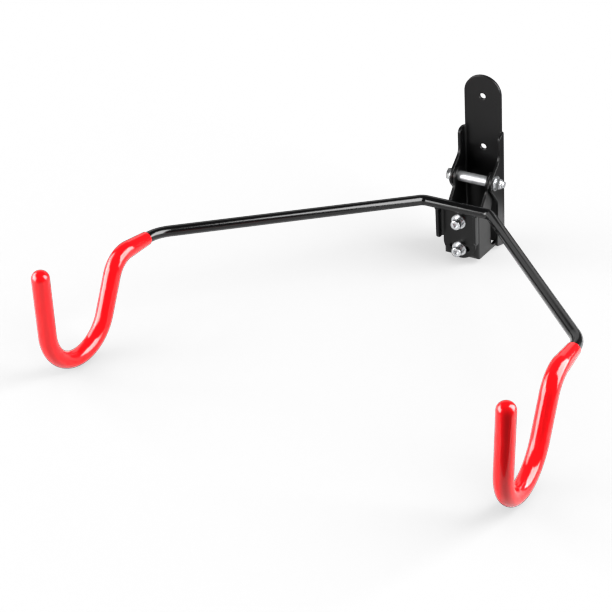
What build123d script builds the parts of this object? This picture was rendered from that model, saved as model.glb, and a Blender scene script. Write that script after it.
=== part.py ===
from build123d import *
import math
import os

# Folding wall hook for a bicycle: a wall bracket, a bracket that folds up on a pivot bolt,
# and a bent rod with two dipped hooks on a plate that tilts about its upper clamp screw.
# Millimetres, +Z up, the wall is the plane Y = 0 and the arms reach towards -Y.
# The origin lies on the wall, on the middle plane, at the height of the pivot.

# Sheet metal
sheet = 2.5
bend_inner = 2.5

# Wall bracket
tongue_w = 38.0
tongue_top = 102.5
channel_w = 45.0
channel_top = 44.5
channel_foot = -85.2
channel_corner = 5.0
upper_depth = 12.5
upper_end = 19.5
waist_depth = 18.3
lower_depth = 20.5
lower_start = -25.5
lower_end = -76.5
neck_bend = 9.0
waist_bend = 10.0
wall_screw_top = 80.6
wall_screw_pitch = 56.0
wall_screw_count = 2
wall_screw_hole = 7.0

# Pivot
pivot_out = 24.8
ear_r = 9.8
pivot_d = 6.0
pivot_clear = 0.05
shim_t = 1.5
shim_d = 15.0
spacer_d = 10.0
pivot_washer_d = 15.0
pivot_washer_t = 1.5

# Fasteners of 6 mm thread
hex_across = 10.0
bolt_head_h = 4.0
lock_nut_h = 6.0
plain_nut_h = 5.0
thread_past_nut = 2.0
cap_head_d = 10.0
cap_head_h = 6.0
socket_across = 5.0
socket_depth = 3.0

# Folding bracket
web_out = 59.3
web_top = -22.5
throat_z = -6.5
throat_bend = 6.0
sill_run = 8.0
sill_bend = 5.0
web_bottom = -71.3
web_corner = 6.0
foot_bottom = -81.0
foot_top = -74.5
rear_out = 28.4
rear_curve = 9.0
rear_top = -34.0
stop_gap = 0.3

# Arm plate
plate_w = 42.5
plate_top = -8.0
plate_end_r = 17.0
plate_end_lift = 6.1
lip_depth = 7.9
lip_bottom = -48.0
lip_corner = 4.0

# Clamp between the arm plate and the folding bracket
clamp_z = -27.9
clamp_pitch = 31.7
plate_end_z = clamp_z - clamp_pitch + plate_end_lift
clamp_d = 6.0
clamp_clear = 0.1
slot_clear = 0.3
slot_swing = 14.0
clamp_washer_d = 15.0
clamp_washer_t = 1.5
spring_washer_d = 11.0
spring_washer_t = 1.6
spring_gap = 1.4

# Bent rod
rod_d = 10.0
rod_z = -8.5
front_half = 35.5
front_bend = 9.0
arm_half = 208.3
arm_reach = 206.0
arm_rise = 42.3
arm_bend = 38.0

# Hook, measured in its own upright plane from the end of the arm
hook_yaw = 1.75
hook_out = 122.8
hook_drop = 13.3
hook_r = 40.7
fall_lean = 31.6
fall_len = 53.1
rise_lean = -6.2
rise_len = 56.3
shoulder_bend = 26.0

# Dipped coat
coat_wall = 2.75
coat_start = 2.0
coat_start_wall = 1.2
coat_edge = 0.5
dome_flat = 0.25

# Worked out from the sizes above
wall_face = -sheet
inner_half = channel_w / 2 - sheet
fold_half = inner_half - shim_t
fold_inner = fold_half - sheet
plate_back = -web_out
plate_front = plate_back - sheet
rod_y = plate_front - rod_d / 2
lip_top = rod_z - rod_d / 2
coat_r = rod_d / 2 + coat_wall
coat_start_r = rod_d / 2 + coat_start_wall
bend_outer = bend_inner + sheet


def channel(half, back, front, low, high):
    """U section of folded sheet with its web at back, its walls reaching front, along Z."""
    sign = 1 if front > back else -1
    outer = Pos(0, (back + front) / 2, 0) * Rectangle(2 * half, abs(front - back))
    inner_back = back + sign * sheet
    far = front + sign
    inner = Pos(0, (inner_back + far) / 2, 0) * Rectangle(2 * (half - sheet), abs(far - inner_back))
    outer = fillet([v for v in outer.vertices() if abs(v.Y - back) < 0.01], bend_outer)
    inner = fillet([v for v in inner.vertices() if abs(v.Y - inner_back) < 0.01], bend_inner)
    return Pos(0, 0, low) * extrude(outer - inner, high - low)


def side_prism(edges, half):
    """Solid of a side outline drawn in the YZ plane, as wide as the part."""
    return Pos(-half - 1, 0, 0) * extrude(make_face(edges), 2 * half + 2, dir=(1, 0, 0))


def rod_x(d, length, y, z, x=0.0):
    """Cylinder along X about its middle."""
    return Pos(x, y, z) * Rot(0, 90, 0) * Cylinder(d / 2, length)


def rod_along_y(d, near, far, z):
    """Cylinder along Y between two distances."""
    return Pos(0, (near + far) / 2, z) * Rot(90, 0, 0) * Cylinder(d / 2, abs(far - near))


def ring_x(outer, inner, x0, x1):
    """Washer or sleeve on the pivot axis."""
    middle = (x0 + x1) / 2
    length = abs(x1 - x0)
    return rod_x(outer, length, -pivot_out, 0, middle) - rod_x(inner, length + 1, -pivot_out, 0, middle)


def hexagon(across, length):
    """Hexagonal prism on the XY plane with its points chamfered away at both ends."""
    body = extrude(RegularPolygon(across / 2, 6, major_radius=False), length)
    corner = across / math.sqrt(3)
    cone = Cylinder(corner, length, align=(Align.CENTER, Align.CENTER, Align.MIN))
    rim = corner - across / 2
    return body & chamfer(cone.edges().filter_by(GeomType.CIRCLE), rim * 0.9, rim * 0.6)


def bend(before, corner, after, radius):
    """Start, middle and end of the round bend at a corner."""
    u = (before - corner).normalized()
    v = (after - corner).normalized()
    half = u.get_angle(v) / 2
    run = radius / math.tan(math.radians(half))
    middle = corner + (u + v).normalized() * (radius / math.sin(math.radians(half)) - radius)
    return corner + u * run, middle, corner + v * run


def ear_point(angle):
    """Point on the rim of an ear, by its angle from the wall side."""
    a = math.radians(angle)
    return Vector(0, -pivot_out + ear_r * math.cos(a), ear_r * math.sin(a))


def ear_touch(corner, side):
    """Angle at which a straight edge from a corner runs into the rim of an ear."""
    gap = corner - Vector(0, -pivot_out, 0)
    return math.degrees(math.atan2(gap.Z, gap.Y) + side * math.acos(ear_r / gap.length)) % 360


def wall_outline():
    """Side of the wall bracket: a shallow top, an ear round the pivot, a deeper lower part."""
    top = Vector(0, 0, channel_top)
    shoulder = Vector(0, -upper_depth, channel_top)
    neck = Vector(0, -upper_depth, upper_end)
    high = ear_touch(neck, 1)
    waist = Vector(0, -waist_depth, lower_start)
    low = ear_touch(waist, -1)
    toe = Vector(0, -lower_depth, lower_end)
    heel = Vector(0, 0, channel_foot)
    crown = bend(top, shoulder, neck, channel_corner)
    upper = bend(shoulder, neck, ear_point(high), neck_bend)
    lower = bend(ear_point(low), waist, toe, waist_bend)
    return [Line(top, crown[0]), ThreePointArc(*crown), Line(crown[2], upper[0]), ThreePointArc(*upper),
            Line(upper[2], ear_point(high)), ThreePointArc(ear_point(high), ear_point((high + low) / 2), ear_point(low)),
            Line(ear_point(low), lower[0]), ThreePointArc(*lower), Line(lower[2], toe), Line(toe, heel), Line(heel, top)]


def wall_bracket():
    """Folded channel with ears for the pivot, and a round-ended tongue above it."""
    half = channel_w / 2
    body = channel(half, 0, -pivot_out - ear_r - 1, channel_foot, channel_top)
    body = body & side_prism(wall_outline(), half)
    plate = Rectangle(tongue_w, tongue_top - channel_top - tongue_w / 2 + 10)
    plate = Pos(0, (tongue_top - tongue_w / 2 + channel_top - 10) / 2) * plate
    plate += Pos(0, tongue_top - tongue_w / 2) * Circle(tongue_w / 2)
    body += extrude(Plane.XZ * plate, sheet, dir=(0, -1, 0))
    for i in range(wall_screw_count):
        z = wall_screw_top - i * wall_screw_pitch
        body -= rod_along_y(wall_screw_hole, 1, wall_face - 1, z)
    body -= rod_x(pivot_d + 2 * pivot_clear, channel_w + 2, -pivot_out, 0)
    return body


def fold_outline():
    """Side of the folding bracket: ears at the pivot, web in front, foot against the wall bracket."""
    throat = Vector(0, -pivot_out - ear_r, throat_z)
    sill = Vector(0, -web_out + sill_run, web_top)
    web_high = Vector(0, -web_out, web_top)
    web_low = Vector(0, -web_out, web_bottom)
    foot_low = Vector(0, wall_face - stop_gap, foot_bottom)
    foot_high = Vector(0, wall_face - stop_gap, foot_top)
    rear_low = Vector(0, -rear_out, foot_top)
    rear_high = Vector(0, -rear_out, rear_top)
    flank = bend(ear_point(180), throat, sill, throat_bend)
    edge = bend(throat, sill, web_high, sill_bend)
    rear = bend(foot_high, rear_low, rear_high, rear_curve)
    corner = bend(web_high, web_low, foot_low, web_corner)
    return [ThreePointArc(ear_point(-20), ear_point(80), ear_point(180)), Line(ear_point(180), flank[0]),
            ThreePointArc(*flank), Line(flank[2], edge[0]), ThreePointArc(*edge), Line(edge[2], web_high),
            Line(web_high, corner[0]), ThreePointArc(*corner), Line(corner[2], foot_low), Line(foot_low, foot_high),
            Line(foot_high, rear[0]), ThreePointArc(*rear), Line(rear[2], rear_high), Line(rear_high, ear_point(-20))]


def fold_bracket():
    """Folded channel, open towards the wall, that swings up between the ears of the wall bracket."""
    body = channel(fold_half, -web_out, 0, foot_bottom, ear_r)
    body = body & side_prism(fold_outline(), fold_half)
    body -= rod_x(pivot_d + 2 * pivot_clear, channel_w, -pivot_out, 0)
    for z in (clamp_z, clamp_z - clamp_pitch):
        body -= rod_along_y(clamp_d + 2 * clamp_clear, -web_out - 1, -web_out + sheet + 1, z)
    return body


def slot_cutter():
    """Arc slot about the upper clamp screw, in the plane of the plate."""
    width = clamp_d + 2 * slot_clear
    sector = SlotArc(CenterArc((0, 0), clamp_pitch, 270 - slot_swing, 2 * slot_swing), width)
    face = Plane((0, plate_back + 1, clamp_z), x_dir=(1, 0, 0), z_dir=(0, -1, 0)) * sector
    return extrude(face, sheet + 2)


def arm_plate():
    """Plate with two lips folded forward under the rod, a pivot hole, an arc slot and a round end."""
    half = plate_w / 2
    flat_half = half - bend_outer
    lips = channel(half, plate_back, plate_front - lip_depth, lip_bottom, lip_top)
    lower = [e for e in lips.edges().filter_by(Axis.X)
             if abs(e.center().Z - lip_bottom) < 0.01 and abs(e.center().Y - plate_front + lip_depth) < 0.01]
    lips = fillet(lower, lip_corner)
    flat = Pos(0, (plate_top + plate_end_z) / 2) * Rectangle(2 * flat_half + 1.5, plate_top - plate_end_z)
    flat = fillet([v for v in flat.vertices() if abs(v.Y - plate_top) < 0.01], 3)
    flat += Pos(0, plate_end_z) * Circle(plate_end_r)
    body = extrude(Plane.XZ.offset(-plate_back) * flat, sheet, dir=(0, -1, 0)) + lips
    body -= rod_along_y(clamp_d + 2 * clamp_clear, plate_back + 1, plate_front - 1, clamp_z)
    return body - slot_cutter()


def hook_point(out, up):
    """Point of the right hook's plane, from the corner at the end of the arm."""
    yaw = math.radians(hook_yaw)
    return Vector(arm_half + out * math.sin(yaw), rod_y - arm_reach - out * math.cos(yaw), rod_z + arm_rise + up)


def path_edges():
    """Edges of the right half of the rod, from the middle of the front straight to the tip."""
    fall = math.radians(fall_lean)
    rise = math.radians(rise_lean)
    origin = Vector(0, rod_y, rod_z)
    corner = Vector(front_half, rod_y, rod_z)
    arm_end = hook_point(0, 0)
    cup_in = (hook_out - hook_r * math.cos(fall), -hook_drop - hook_r * math.sin(fall))
    top = (cup_in[0] - fall_len * math.sin(fall), cup_in[1] + fall_len * math.cos(fall))
    cup_out = (hook_out + hook_r * math.cos(rise), -hook_drop - hook_r * math.sin(rise))
    tip = (cup_out[0] + rise_len * math.sin(rise), cup_out[1] + rise_len * math.cos(rise))
    low = math.radians(270 + (fall_lean - rise_lean) / 2)
    cup_low = (hook_out + hook_r * math.cos(low), -hook_drop + hook_r * math.sin(low))
    shoulder = hook_point(*top)
    front = bend(origin, corner, arm_end, front_bend)
    end = bend(corner, arm_end, shoulder, arm_bend)
    over = bend(arm_end, shoulder, hook_point(*cup_in), shoulder_bend)
    return [Line(origin, front[0]), ThreePointArc(*front), Line(front[2], end[0]), ThreePointArc(*end),
            Line(end[2], over[0]), ThreePointArc(*over), Line(over[2], hook_point(*cup_in)),
            ThreePointArc(hook_point(*cup_in), hook_point(*cup_low), hook_point(*cup_out)),
            Line(hook_point(*cup_out), hook_point(*tip))]


def swept(edges, radius):
    """Round bar along a chain of edges."""
    section = Plane(edges[0] @ 0, z_dir=edges[0] % 0) * Circle(radius)
    return sweep(section, path=Wire(edges))


def arm_rod():
    """One bent bar from tip to tip, welded to the front of the arm plate."""
    half = swept(path_edges(), rod_d / 2)
    return half + mirror(half, Plane.YZ)


def hook_coat():
    """Dipped coat of the right hook, thin at its start, with a domed end over the tip."""
    edges = path_edges()
    shank = edges[4]
    last = edges[-1]
    start = shank @ 0 + (shank % 0) * coat_start
    end = last @ 1 + (last % 1) * coat_r
    first = Line(start, shank @ 1)
    taper = Cone(coat_start_r, coat_r, first.length, align=(Align.CENTER, Align.CENTER, Align.MIN))
    body = sweep(Plane(shank @ 1, z_dir=shank % 1) * Circle(coat_r), path=Wire(edges[5:-1] + [Line(last @ 0, end)]))
    outer = Plane(start, z_dir=first % 0) * taper + body
    core = sweep(Plane(start, z_dir=first % 0) * Circle(rod_d / 2), path=Wire([first] + edges[5:]))
    for centre, rim_r, radius in ((start, coat_start_r, coat_edge), (end, coat_r, coat_r - dome_flat)):
        rim = [e for e in outer.edges().filter_by(GeomType.CIRCLE)
               if (e.arc_center - centre).length < 0.1 and abs(e.radius - rim_r) < 0.1]
        outer = fillet(rim, radius)
    return outer - core


def pivot_bolt():
    """Hex bolt through all the ears, its head on the left."""
    outer = channel_w / 2 + pivot_washer_t
    end = outer + lock_nut_h + thread_past_nut
    shank = rod_x(pivot_d, outer + end, -pivot_out, 0, (end - outer) / 2)
    shank = chamfer(shank.edges().filter_by(GeomType.CIRCLE).sort_by(Axis.X)[-1], 0.6)
    return shank + Pos(-outer, -pivot_out, 0) * Rot(0, -90, 0) * hexagon(hex_across, bolt_head_h)


def pivot_nut():
    """Lock nut with its plain collar on the right end of the pivot bolt."""
    outer = channel_w / 2 + pivot_washer_t
    nut = hexagon(hex_across, lock_nut_h * 0.72)
    collar = Pos(0, 0, lock_nut_h * 0.68) * Cylinder(hex_across * 0.43, lock_nut_h * 0.64)
    collar = fillet(collar.edges().filter_by(GeomType.CIRCLE).sort_by(Axis.Z)[-1], 0.8)
    nut = nut + collar - Cylinder(pivot_d / 2, 40)
    return Pos(outer, -pivot_out, 0) * Rot(0, 90, 0) * nut


def clamp_stack(z):
    """Washer, spring washer, socket head screw and nut of one clamp, front to back."""
    washer_face = plate_front - clamp_washer_t
    head_seat = washer_face - spring_washer_t
    bore = clamp_d + 2 * clamp_clear
    washer = rod_along_y(clamp_washer_d, plate_front, washer_face, z) - rod_along_y(bore, 0, -200, z)
    spring = rod_along_y(spring_washer_d, washer_face, head_seat, z) - rod_along_y(bore, 0, -200, z)
    split = Rot(0, 0, 20) * Box(spring_washer_d, 4 * spring_washer_t, spring_gap)
    spring -= Pos(spring_washer_d / 2, (washer_face + head_seat) / 2, z) * split
    nut_face = plate_back + sheet
    screw_end = nut_face + plain_nut_h + thread_past_nut
    head = rod_along_y(cap_head_d, head_seat, head_seat - cap_head_h, z)
    head = fillet(head.edges().filter_by(GeomType.CIRCLE).sort_by(Axis.Y)[0], 0.7)
    socket = extrude(RegularPolygon(socket_across / 2, 6, major_radius=False), socket_depth + 1)
    socket = Pos(0, head_seat - cap_head_h - 1, z) * Rot(-90, 0, 0) * socket
    screw = head + rod_along_y(clamp_d, head_seat, screw_end, z) - socket
    screw = chamfer(screw.edges().filter_by(GeomType.CIRCLE).sort_by(Axis.Y)[-1], 0.6)
    nut = Pos(0, nut_face, z) * Rot(-90, 0, 0) * (hexagon(hex_across, plain_nut_h) - Cylinder(clamp_d / 2, 40))
    return washer, spring, screw, nut


def save(name, shape):
    """Write one piece to its own file."""
    shape.label = name
    export_step(shape, f"parts/{name}.step")


def main():
    os.makedirs("parts", exist_ok=True)
    outer = channel_w / 2
    bore = pivot_d + 2 * pivot_clear
    save("wall_bracket", wall_bracket())
    save("fold_bracket", fold_bracket())
    save("arm_plate", arm_plate())
    save("arm_rod", arm_rod())
    coat = hook_coat()
    save("hook_coat_right", coat)
    save("hook_coat_left", mirror(coat, Plane.YZ))
    save("pivot_bolt", pivot_bolt())
    save("pivot_nut", pivot_nut())
    save("pivot_spacer", ring_x(spacer_d, bore, -fold_inner, fold_inner))
    for side, sign in (("left", -1), ("right", 1)):
        save(f"pivot_washer_{side}", ring_x(pivot_washer_d, bore, sign * outer, sign * (outer + pivot_washer_t)))
        save(f"inner_washer_{side}", ring_x(shim_d, bore, sign * fold_half, sign * inner_half))
    for place, z in (("upper", clamp_z), ("lower", clamp_z - clamp_pitch)):
        washer, spring, screw, nut = clamp_stack(z)
        save(f"clamp_washer_{place}", washer)
        save(f"spring_washer_{place}", spring)
        save(f"clamp_screw_{place}", screw)
        save(f"clamp_nut_{place}", nut)


main()
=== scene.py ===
import math

import bmesh
import bpy
from mathutils import Matrix, Vector


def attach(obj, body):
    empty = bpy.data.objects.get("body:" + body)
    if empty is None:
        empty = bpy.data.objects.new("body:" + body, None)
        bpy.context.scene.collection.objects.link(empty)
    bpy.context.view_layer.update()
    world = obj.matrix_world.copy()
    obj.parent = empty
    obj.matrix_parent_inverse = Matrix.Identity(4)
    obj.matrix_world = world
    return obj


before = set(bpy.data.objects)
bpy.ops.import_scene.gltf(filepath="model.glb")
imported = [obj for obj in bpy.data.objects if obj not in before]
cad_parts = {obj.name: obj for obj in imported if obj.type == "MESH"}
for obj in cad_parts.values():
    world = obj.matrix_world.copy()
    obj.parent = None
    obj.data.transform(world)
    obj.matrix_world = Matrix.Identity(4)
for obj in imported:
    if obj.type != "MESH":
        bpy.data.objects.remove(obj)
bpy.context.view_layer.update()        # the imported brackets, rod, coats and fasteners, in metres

mm = 0.001


class Field:
    # one socket of a shader tree; sums and products on it add their Math nodes
    def __init__(self, tree, socket=None):
        self.tree = tree
        self.socket = socket

    def add(self, kind, settings=None, sockets=None, out=0):
        # adds any node: its settings go in first, then the values or links of its sockets
        node = self.tree.nodes.new("ShaderNode" + kind)
        for name, value in (settings or {}).items():
            setattr(node, name, value)
        for name, value in (sockets or {}).items():
            if isinstance(value, Field):
                self.tree.links.new(value.socket, node.inputs[name])
            else:
                node.inputs[name].default_value = value
        return Field(self.tree, node.outputs[out])

    def calc(self, operation, a, b):
        return self.add("Math", {"operation": operation}, {0: a, 1: b})

    def __add__(self, other):
        return self.calc("ADD", self, other)

    def __sub__(self, other):
        return self.calc("SUBTRACT", self, other)

    def __rsub__(self, other):
        return self.calc("SUBTRACT", other, self)

    def __mul__(self, other):
        return self.calc("MULTIPLY", self, other)

    __radd__ = __add__
    __rmul__ = __mul__


def newFinish(name, **constants):
    # a material with one Principled shader; constants go straight onto its sockets
    made = bpy.data.materials.new(name)
    made.use_nodes = True
    shader = made.node_tree.nodes["Principled BSDF"]
    for socketName, value in constants.items():
        shader.inputs[socketName.replace("_", " ")].default_value = value
    start = Field(made.node_tree)
    place = start.add("TexCoord", out="Object")
    return made, shader, start, place


def feed(field, shader, socketName):
    field.tree.links.new(field.socket, shader.inputs[socketName])


def noise(start, place, size, detail=3.0, roughness=0.5, stretch=None):
    # soft grain whose features are about size millimetres across
    if stretch:
        place = start.add("Mapping", None, {"Vector": place, "Scale": stretch})
    return start.add("TexNoise", None, {"Vector": place, "Scale": 1000.0 / size, "Detail": detail, "Roughness": roughness})


def ramp(start, value, low, high):
    # 0 below low, 1 above high
    return start.add("MapRange", {"clamp": True, "interpolation_type": "SMOOTHSTEP"},
                     {"Value": value, "From Min": low, "From Max": high})


def blendColour(start, factor, first, second):
    return start.add("Mix", {"data_type": "RGBA"}, {"Factor": factor, 6: first, 7: second}, out=2)


def roundedEdge(start, radius):
    # a cut edge that catches light as if it had this radius, in millimetres
    return start.add("Bevel", {"samples": 8}, {"Radius": radius * mm})


def bump(start, height, depth, strength=1.0, under=None):
    # depth is in millimetres; under is the normal that the relief stands on
    sockets = {"Height": height, "Strength": strength, "Distance": depth * mm}
    if under:
        sockets["Normal"] = under
    return start.add("Bump", None, sockets)


satinLook = {
    "dark": (0.0006, 0.0006, 0.0007, 1), "light": (0.0026, 0.0026, 0.0028, 1), "cloudTint": 0.7, "speckTint": 0.5,
    "grain": 0.7, "cloud": 18.0, "speck": 0.5,      # feature sizes in millimetres
    "speckFrom": 0.66, "speckTo": 0.74, "specular": 0.32, "roughness": 0.21, "cloudRough": 0.10, "grainRough": 0.08,
    "depth": 0.05, "strength": 0.55, "edge": 0.9,
}


def satinBlack():
    # powder coat on folded sheet: fine orange peel, cloudy gloss, a little lighter lint scattered at random
    look = satinLook
    made, shader, start, place = newFinish("satinBlack", Specular_IOR_Level=look["specular"])
    peel = noise(start, place, look["grain"], 2.0, 0.45)
    cloud = noise(start, place, look["cloud"], 3.0, 0.55)
    speck = ramp(start, noise(start, place, look["speck"], 1.0, 0.4), look["speckFrom"], look["speckTo"])
    tint = cloud * look["cloudTint"] + speck * look["speckTint"]
    feed(blendColour(start, tint, look["dark"], look["light"]), shader, "Base Color")
    feed(cloud * look["cloudRough"] + peel * look["grainRough"] + look["roughness"], shader, "Roughness")
    edge = roundedEdge(start, look["edge"])
    feed(bump(start, peel, look["depth"], look["strength"], edge), shader, "Normal")
    return made


glossLook = {
    "dark": (0.0004, 0.0004, 0.0005, 1), "light": (0.0016, 0.0016, 0.0018, 1),
    "peel": 2.2, "fine": 0.5, "cloud": 30.0,      # feature sizes in millimetres
    "specular": 0.5, "roughness": 0.08, "cloudRough": 0.07, "fineRough": 0.05,
    "depth": 0.04, "strength": 0.35, "peelShare": 0.8, "fineShare": 0.2,
}


def glossBlack():
    # smoother coat of the bent rod
    look = glossLook
    made, shader, start, place = newFinish("glossBlack", Specular_IOR_Level=look["specular"])
    peel = noise(start, place, look["peel"], 2.0, 0.4)
    fine = noise(start, place, look["fine"], 1.0, 0.4)
    cloud = noise(start, place, look["cloud"], 3.0, 0.5)
    feed(blendColour(start, cloud, look["dark"], look["light"]), shader, "Base Color")
    feed(cloud * look["cloudRough"] + fine * look["fineRough"] + look["roughness"], shader, "Roughness")
    relief = peel * look["peelShare"] + fine * look["fineShare"]
    feed(bump(start, relief, look["depth"], look["strength"]), shader, "Normal")
    return made


redLook = {
    "deep": (0.66, 0.002, 0.005, 1), "bright": (0.82, 0.005, 0.008, 1),
    "wave": 9.0, "pit": 1.1, "tone": 22.0,      # feature sizes in millimetres
    "pitFrom": 0.70, "pitTo": 0.78, "specular": 0.55, "roughness": 0.05, "toneRough": 0.06, "pitRough": 0.12,
    "depth": 0.12, "strength": 0.2, "pitShare": 0.15,
    "scatter": 0.08, "scatterReach": (0.004, 0.0006, 0.0004), "scatterScale": 0.5,
}


def redDip():
    # thick dipped vinyl: slow waves in the film, small pits, slightly deeper colour in broad random patches
    look = redLook
    made, shader, start, place = newFinish(
        "redDip", Specular_IOR_Level=look["specular"], Subsurface_Weight=look["scatter"],
        Subsurface_Radius=look["scatterReach"], Subsurface_Scale=look["scatterScale"])
    wave = noise(start, place, look["wave"], 1.0, 0.4)
    pit = ramp(start, noise(start, place, look["pit"], 1.0, 0.5), look["pitFrom"], look["pitTo"])
    tone = noise(start, place, look["tone"], 2.0, 0.5)
    feed(blendColour(start, tone, look["deep"], look["bright"]), shader, "Base Color")
    feed(tone * look["toneRough"] + pit * look["pitRough"] + look["roughness"], shader, "Roughness")
    feed(bump(start, wave - pit * look["pitShare"], look["depth"], look["strength"]), shader, "Normal")
    return made


zincLook = {
    "dull": (0.50, 0.51, 0.53, 1), "bright": (0.82, 0.83, 0.84, 1), "blotchTint": 0.6, "lineTint": 0.4,
    "blotch": 3.5, "lines": 1.0,      # feature sizes in millimetres
    "roughness": 0.17, "blotchRough": 0.14, "lineRough": 0.10, "sleeveWorn": 0.2,
    "depth": 0.02, "strength": 0.5, "lineShare": 0.6, "blotchShare": 0.4,
    "roundX": (5.0, 0.6, 0.6), "roundY": (0.6, 5.0, 0.6),      # marks run round a piece on this axis
}


def zincPlate(name, stretch, worn=0.0):
    # bright plating with turning marks along one direction and dull blotches; worn adds roughness
    look = zincLook
    made, shader, start, place = newFinish(name, Metallic=1.0)
    blotch = noise(start, place, look["blotch"], 3.0, 0.6)
    lines = noise(start, place, look["lines"], 2.0, 0.6, stretch)
    tint = blotch * look["blotchTint"] + lines * look["lineTint"]
    feed(blendColour(start, tint, look["dull"], look["bright"]), shader, "Base Color")
    feed(blotch * look["blotchRough"] + lines * look["lineRough"] + (look["roughness"] + worn), shader, "Roughness")
    relief = lines * look["lineShare"] + blotch * look["blotchShare"]
    feed(bump(start, relief, look["depth"], look["strength"]), shader, "Normal")
    return made


satin = satinBlack()
gloss = glossBlack()
red = redDip()
zincAcross = zincPlate("zincTurned", zincLook["roundX"])      # pieces on the pivot axis
zincDeep = zincPlate("zincFaced", zincLook["roundY"])         # pieces on a clamp axis
print("finishes made")


def dress(node, finish):
    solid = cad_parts[node]
    solid.data.materials.clear()
    solid.data.materials.append(finish)


for node in ("wall_bracket", "fold_bracket", "arm_plate"):
    dress(node, satin)
dress("arm_rod", gloss)
for node in ("hook_coat_left", "hook_coat_right"):
    dress(node, red)
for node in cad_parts:
    if node.startswith(("pivot", "inner")):
        dress(node, zincAcross)
    elif node.startswith(("clamp", "spring")):
        dress(node, zincDeep)
dress("pivot_spacer", zincPlate("zincSleeve", zincLook["roundX"], zincLook["sleeveWorn"]))
print("solids dressed")


# small things that ride on the solids: weld beads, threads and the grip of the socket heads
weldBead = {
    "radius": 1.25, "ripple": 1.1, "sides": 14, "rings": 4,      # rings in each ripple
    "mean": 0.9, "swing": 0.1, "drift": 0.04, "driftRate": 1.7, "tip": 0.45, "shoulder": 0.78,
    "lipX": 20.0, "lipHalf": 1.5, "nearWall": -63.2, "farWall": -69.3, "lipZ": -13.6,
    "seamHalf": 17.0, "seamY": -62.7, "seamZ": -12.2,
}
clampHeights = (-27.9, -59.6)      # axes of the two clamp screws
sortLine = Vector((1.0, 31.7, 977.3))      # verts and faces lie in order along it, so each run gives the same mesh


def keep(bm, name, finish, body):
    # a finished mesh becomes an object at the origin that rides on one body
    bmesh.ops.remove_doubles(bm, verts=bm.verts, dist=0.0005 * mm)
    bmesh.ops.recalc_face_normals(bm, faces=bm.faces)
    bm.verts.sort(key=lambda v: v.co.dot(sortLine))
    bm.faces.sort(key=lambda f: f.calc_center_median().dot(sortLine))
    mesh = bpy.data.meshes.new(name)
    bm.to_mesh(mesh)
    bm.free()
    for face in mesh.polygons:
        face.use_smooth = True
    mesh.set_sharp_from_angle(angle=math.radians(40))
    piece = bpy.data.objects.new(name, mesh)
    bpy.context.scene.collection.objects.link(piece)
    mesh.materials.append(finish)
    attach(piece, body)


def bead(bm, start, end):
    # a bar along the seam, cut into rings that swell and shrink as the weld pool froze
    look = weldBead
    start, end = Vector(start) * mm, Vector(end) * mm
    run = end - start
    length = run.length
    count = max(2, round(length / (look["ripple"] * mm))) * look["rings"]
    thick = look["radius"] * mm
    bar = bmesh.new()
    bmesh.ops.create_cone(bar, cap_ends=True, segments=look["sides"], radius1=thick, radius2=thick, depth=length)
    for k in range(1, count):
        bmesh.ops.bisect_plane(bar, geom=bar.verts[:] + bar.edges[:] + bar.faces[:],
                               plane_co=(0, 0, length * (k / count - 0.5)), plane_no=(0, 0, 1))
    for k in range(count + 1):
        height = length * (k / count - 0.5)
        ripple = look["swing"] * math.cos(k * math.pi / 2) + look["drift"] * math.sin(k * look["driftRate"])
        swell = look["mean"] + ripple
        if k in (0, count):
            swell = look["tip"]
        elif k in (1, count - 1):
            swell = look["shoulder"]
        ring = [v for v in bar.verts if abs(v.co.z - height) < 0.01 * mm]
        bmesh.ops.scale(bar, vec=(swell, swell, 1), verts=ring)
    bar.transform(Matrix.Translation((start + end) / 2) @ run.to_track_quat("Z", "Y").to_matrix().to_4x4())
    joined = bpy.data.meshes.new("bar")
    bar.to_mesh(joined)
    bar.free()
    bm.from_mesh(joined)
    bpy.data.meshes.remove(joined)


def makeWelds():
    # a bead on both faces of each lip, and one long seam under the rod
    look = weldBead
    for side, name in ((-1, "weld_left"), (1, "weld_right")):
        bm = bmesh.new()
        for face in (-1, 1):
            x = side * look["lipX"] + face * look["lipHalf"]
            bead(bm, (x, look["nearWall"], look["lipZ"]), (x, look["farWall"], look["lipZ"]))
        keep(bm, name, satin, "arm")
    bm = bmesh.new()
    half = look["seamHalf"]
    bead(bm, (-half, look["seamY"], look["seamZ"]), (half, look["seamY"], look["seamZ"]))
    keep(bm, "weld_seam", satin, "arm")


threadCut = {
    "crest": 3.14, "root": 2.9, "pitch": 1.0, "crestFrom": 0.38, "crestTo": 0.5, "rootEnd": 0.88,
    "steps": 24, "turns": 1.0, "pivotStart": (30.55, -24.8, 0), "clampStart": -51.35,
}


def thread(bm, begin, axis):
    # one ridge wound round a shank; begin is a point on its axis
    look = threadCut
    side, along = Vector((0, 0, 1)), Vector(axis)
    outline = ((look["root"], 0.0), (look["crest"], look["crestFrom"]),
               (look["crest"], look["crestTo"]), (look["root"], look["rootEnd"]))
    low = [bm.verts.new(Vector(begin) * mm + side * r * mm + along * a * mm) for r, a in outline]
    section = bm.faces.new(low)
    turns = look["turns"]
    steps = int(look["steps"] * turns)
    bmesh.ops.spin(bm, geom=[section] + list(section.edges) + low, cent=Vector(begin) * mm, axis=along, steps=steps,
                   angle=math.radians(360 * turns), dvec=along * look["pitch"] * mm * turns / steps)


def makeThreads():
    look = threadCut
    bm = bmesh.new()
    thread(bm, look["pivotStart"], (1, 0, 0))
    keep(bm, "pivot_thread", zincAcross, "base")
    bm = bmesh.new()
    for z in clampHeights:
        thread(bm, (0, look["clampStart"], z), (0, 1, 0))
    keep(bm, "clamp_thread", zincDeep, "fold")


headGrip = {"count": 40, "radius": 5.02, "width": 0.30, "proud": 0.12, "near": -65.4, "far": -69.9}


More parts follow.
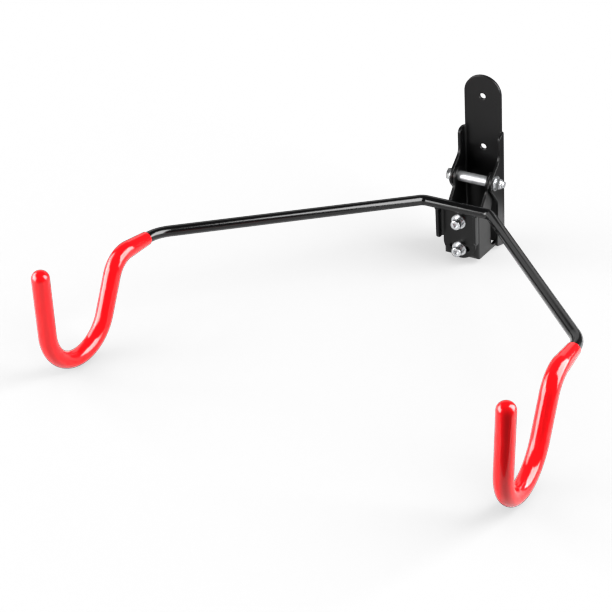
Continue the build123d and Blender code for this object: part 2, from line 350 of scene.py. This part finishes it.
def makeGrip():
    # fine straight ribs round the socket heads
    look = headGrip
    bm = bmesh.new()
    depth = (look["near"] - look["far"]) * mm
    middle = (look["near"] + look["far"]) / 2
    for z in clampHeights:
        for k in range(look["count"]):
            turn = Matrix.Rotation(2 * math.pi * k / look["count"], 3, "Y")
            rib = bmesh.ops.create_cube(bm, size=1.0)["verts"]
            bmesh.ops.scale(bm, vec=(look["width"] * mm, depth, look["proud"] * 2 * mm), verts=rib)
            bmesh.ops.translate(bm, vec=(0, 0, look["radius"] * mm), verts=rib)
            bmesh.ops.rotate(bm, verts=rib, cent=(0, 0, 0), matrix=turn)
            bmesh.ops.translate(bm, vec=(0, middle * mm, z * mm), verts=rib)
    keep(bm, "head_grip", zincDeep, "fold")


makeWelds()
makeThreads()
makeGrip()
print("welds, threads and grips made")


# the stage: a pale floor under the hooks, two big soft boxes left and right, two weaker ones at the back and the far left
stageLook = {
    "half": 3.0, "turn": 25, "paperRough": 0.9,
    "seenColour": (0.93, 0.93, 0.93, 1), "seenFront": 3.0, "seenBack": 5.0, "seenBelow": 0.3,
    "bounceColour": (0.43, 0.43, 0.43, 1), "bounceFront": 0.57, "bounceBack": 0.05, "bounceBelow": 3.0,
    "washMiddle": (0, -0.3), "washHeight": 2.0, "washSide": 3.0, "washPower": 440,
    "fill": 0.2, "shine": 0.1,
}
supports = [Vector((-0.2121, -0.4022, -0.0275)), Vector((0.2121, -0.4022, -0.0275)), Vector((0, 0, -0.0852))]
softBoxes = {      # place, target, size in metres, power in watts
    "softLeft": ((-0.975, -1.1, 0.5), (0, -0.4, 0.5), (1.12, 1.05), 38),
    "softRight": ((0.67, 0.235, 0.565), (-0.5, 0.235, 0.565), (1.03, 1.07), 40),
    "softBack": ((-0.71, 0.95, 0.3), (0.15, -0.2, 0.1), (1.9, 0.62), 2.4),
    "softSide": ((-1.05, -0.45, 0.53), (0, -0.45, 0.53), (0.7, 0.9), 12),
}


def floorPlane(name, colour, frontEdge, backEdge, below):
    # a plane just below the three points that the hook lies on, reaching to both edges from the wall bracket
    across = (supports[1] - supports[0]).normalized()
    along = (supports[2] - (supports[0] + supports[1]) / 2).normalized()
    turn = Matrix((across, along, across.cross(along))).transposed().to_4x4()
    bm = bmesh.new()
    bmesh.ops.create_grid(bm, x_segments=1, y_segments=1, size=stageLook["half"])
    bmesh.ops.scale(bm, verts=bm.verts, vec=(1, (frontEdge + backEdge) / 2 / stageLook["half"], 1))
    bmesh.ops.translate(bm, verts=bm.verts, vec=(0, (backEdge - frontEdge) / 2, -below * mm))
    bm.transform(Matrix.Translation(supports[2]) @ turn @ Matrix.Rotation(math.radians(stageLook["turn"]), 4, "Z"))
    mesh = bpy.data.meshes.new(name)
    bm.to_mesh(mesh)
    bm.free()
    floor = bpy.data.objects.new(name, mesh)
    bpy.context.scene.collection.objects.link(floor)
    paper = newFinish(name + "Paper", Base_Color=colour, Roughness=stageLook["paperRough"], Specular_IOR_Level=0.0)[0]
    mesh.materials.append(paper)
    return floor


def makeFloor():
    # the sheet that is seen takes the soft shadows; the one that lights the hook from below ends sooner
    look = stageLook
    seen = floorPlane("floor", look["seenColour"], look["seenFront"], look["seenBack"], look["seenBelow"])
    seen.is_shadow_catcher = True
    seen.visible_diffuse = False
    seen.visible_glossy = False
    seen.visible_shadow = False
    bounce = floorPlane("floorBounce", look["bounceColour"], look["bounceFront"], look["bounceBack"], look["bounceBelow"])
    bounce.visible_camera = False
    bounce.visible_shadow = False
    # a wide light on the floor alone keeps the shadows pale
    x, y = look["washMiddle"]
    side = look["washSide"]
    wash = softBox("floorWash", (x, y, look["washHeight"]), (x, y, 0), (side, side), look["washPower"])
    wash.data.use_shadow = False
    wash.visible_glossy = False
    only = bpy.data.collections.new("floorOnly")
    only.objects.link(seen)
    wash.light_linking.receiver_collection = only


def softBox(name, place, target, size, power):
    # a flat light that faces its target; sizes in metres, power in watts
    light = bpy.data.lights.new(name, "AREA")
    light.shape = "RECTANGLE"
    light.size, light.size_y = size
    light.energy = power
    box = bpy.data.objects.new(name, light)
    bpy.context.scene.collection.objects.link(box)
    box.location = place
    box.rotation_euler = (Vector(target) - Vector(place)).to_track_quat("-Z", "Y").to_euler()
    return box


def makeWorld():
    # white behind everything, soft white fill, and a dark room for the reflections
    world = bpy.data.worlds.new("room")
    bpy.context.scene.world = world
    world.use_nodes = True
    start = Field(world.node_tree)
    seen = start.add("LightPath", out="Is Camera Ray")
    shiny = start.add("LightPath", out="Is Glossy Ray")
    strength = (1.0 - shiny) * stageLook["fill"] + shiny * stageLook["shine"]
    strength = seen * 1.0 + (1.0 - seen) * strength
    background = world.node_tree.nodes["Background"]
    background.inputs["Color"].default_value = (1, 1, 1, 1)
    world.node_tree.links.new(strength.socket, background.inputs["Strength"])


cameraLook = {
    "place": (581.65, -1256.33, 829.5), "yaw": 32.774, "pitch": 35.512, "roll": -5.528,
    "sensor": 36, "focal": 1600 / 612, "near": 0.05, "far": 40,      # focal is in picture widths
}


def makeCamera():
    look = cameraLook
    lens = bpy.data.cameras.new("camera")
    lens.sensor_width = look["sensor"]
    lens.lens = look["sensor"] * look["focal"]
    lens.clip_start = look["near"]
    lens.clip_end = look["far"]
    camera = bpy.data.objects.new("camera", lens)
    bpy.context.scene.collection.objects.link(camera)
    turn = (Matrix.Rotation(math.radians(look["yaw"]), 4, "Z")
            @ Matrix.Rotation(math.radians(90 - look["pitch"]), 4, "X")
            @ Matrix.Rotation(math.radians(look["roll"]), 4, "Z"))
    camera.matrix_world = Matrix.Translation(Vector(look["place"]) * mm) @ turn
    bpy.context.scene.camera = camera
    print("camera right", [round(v, 4) for v in turn.col[0][:3]], "up", [round(v, 4) for v in turn.col[1][:3]])


makeWorld()
makeCamera()
makeFloor()
for name, (place, target, size, power) in softBoxes.items():
    softBox(name, place, target, size, power)
bpy.context.scene.view_settings.view_transform = "Standard"
print("stage set")
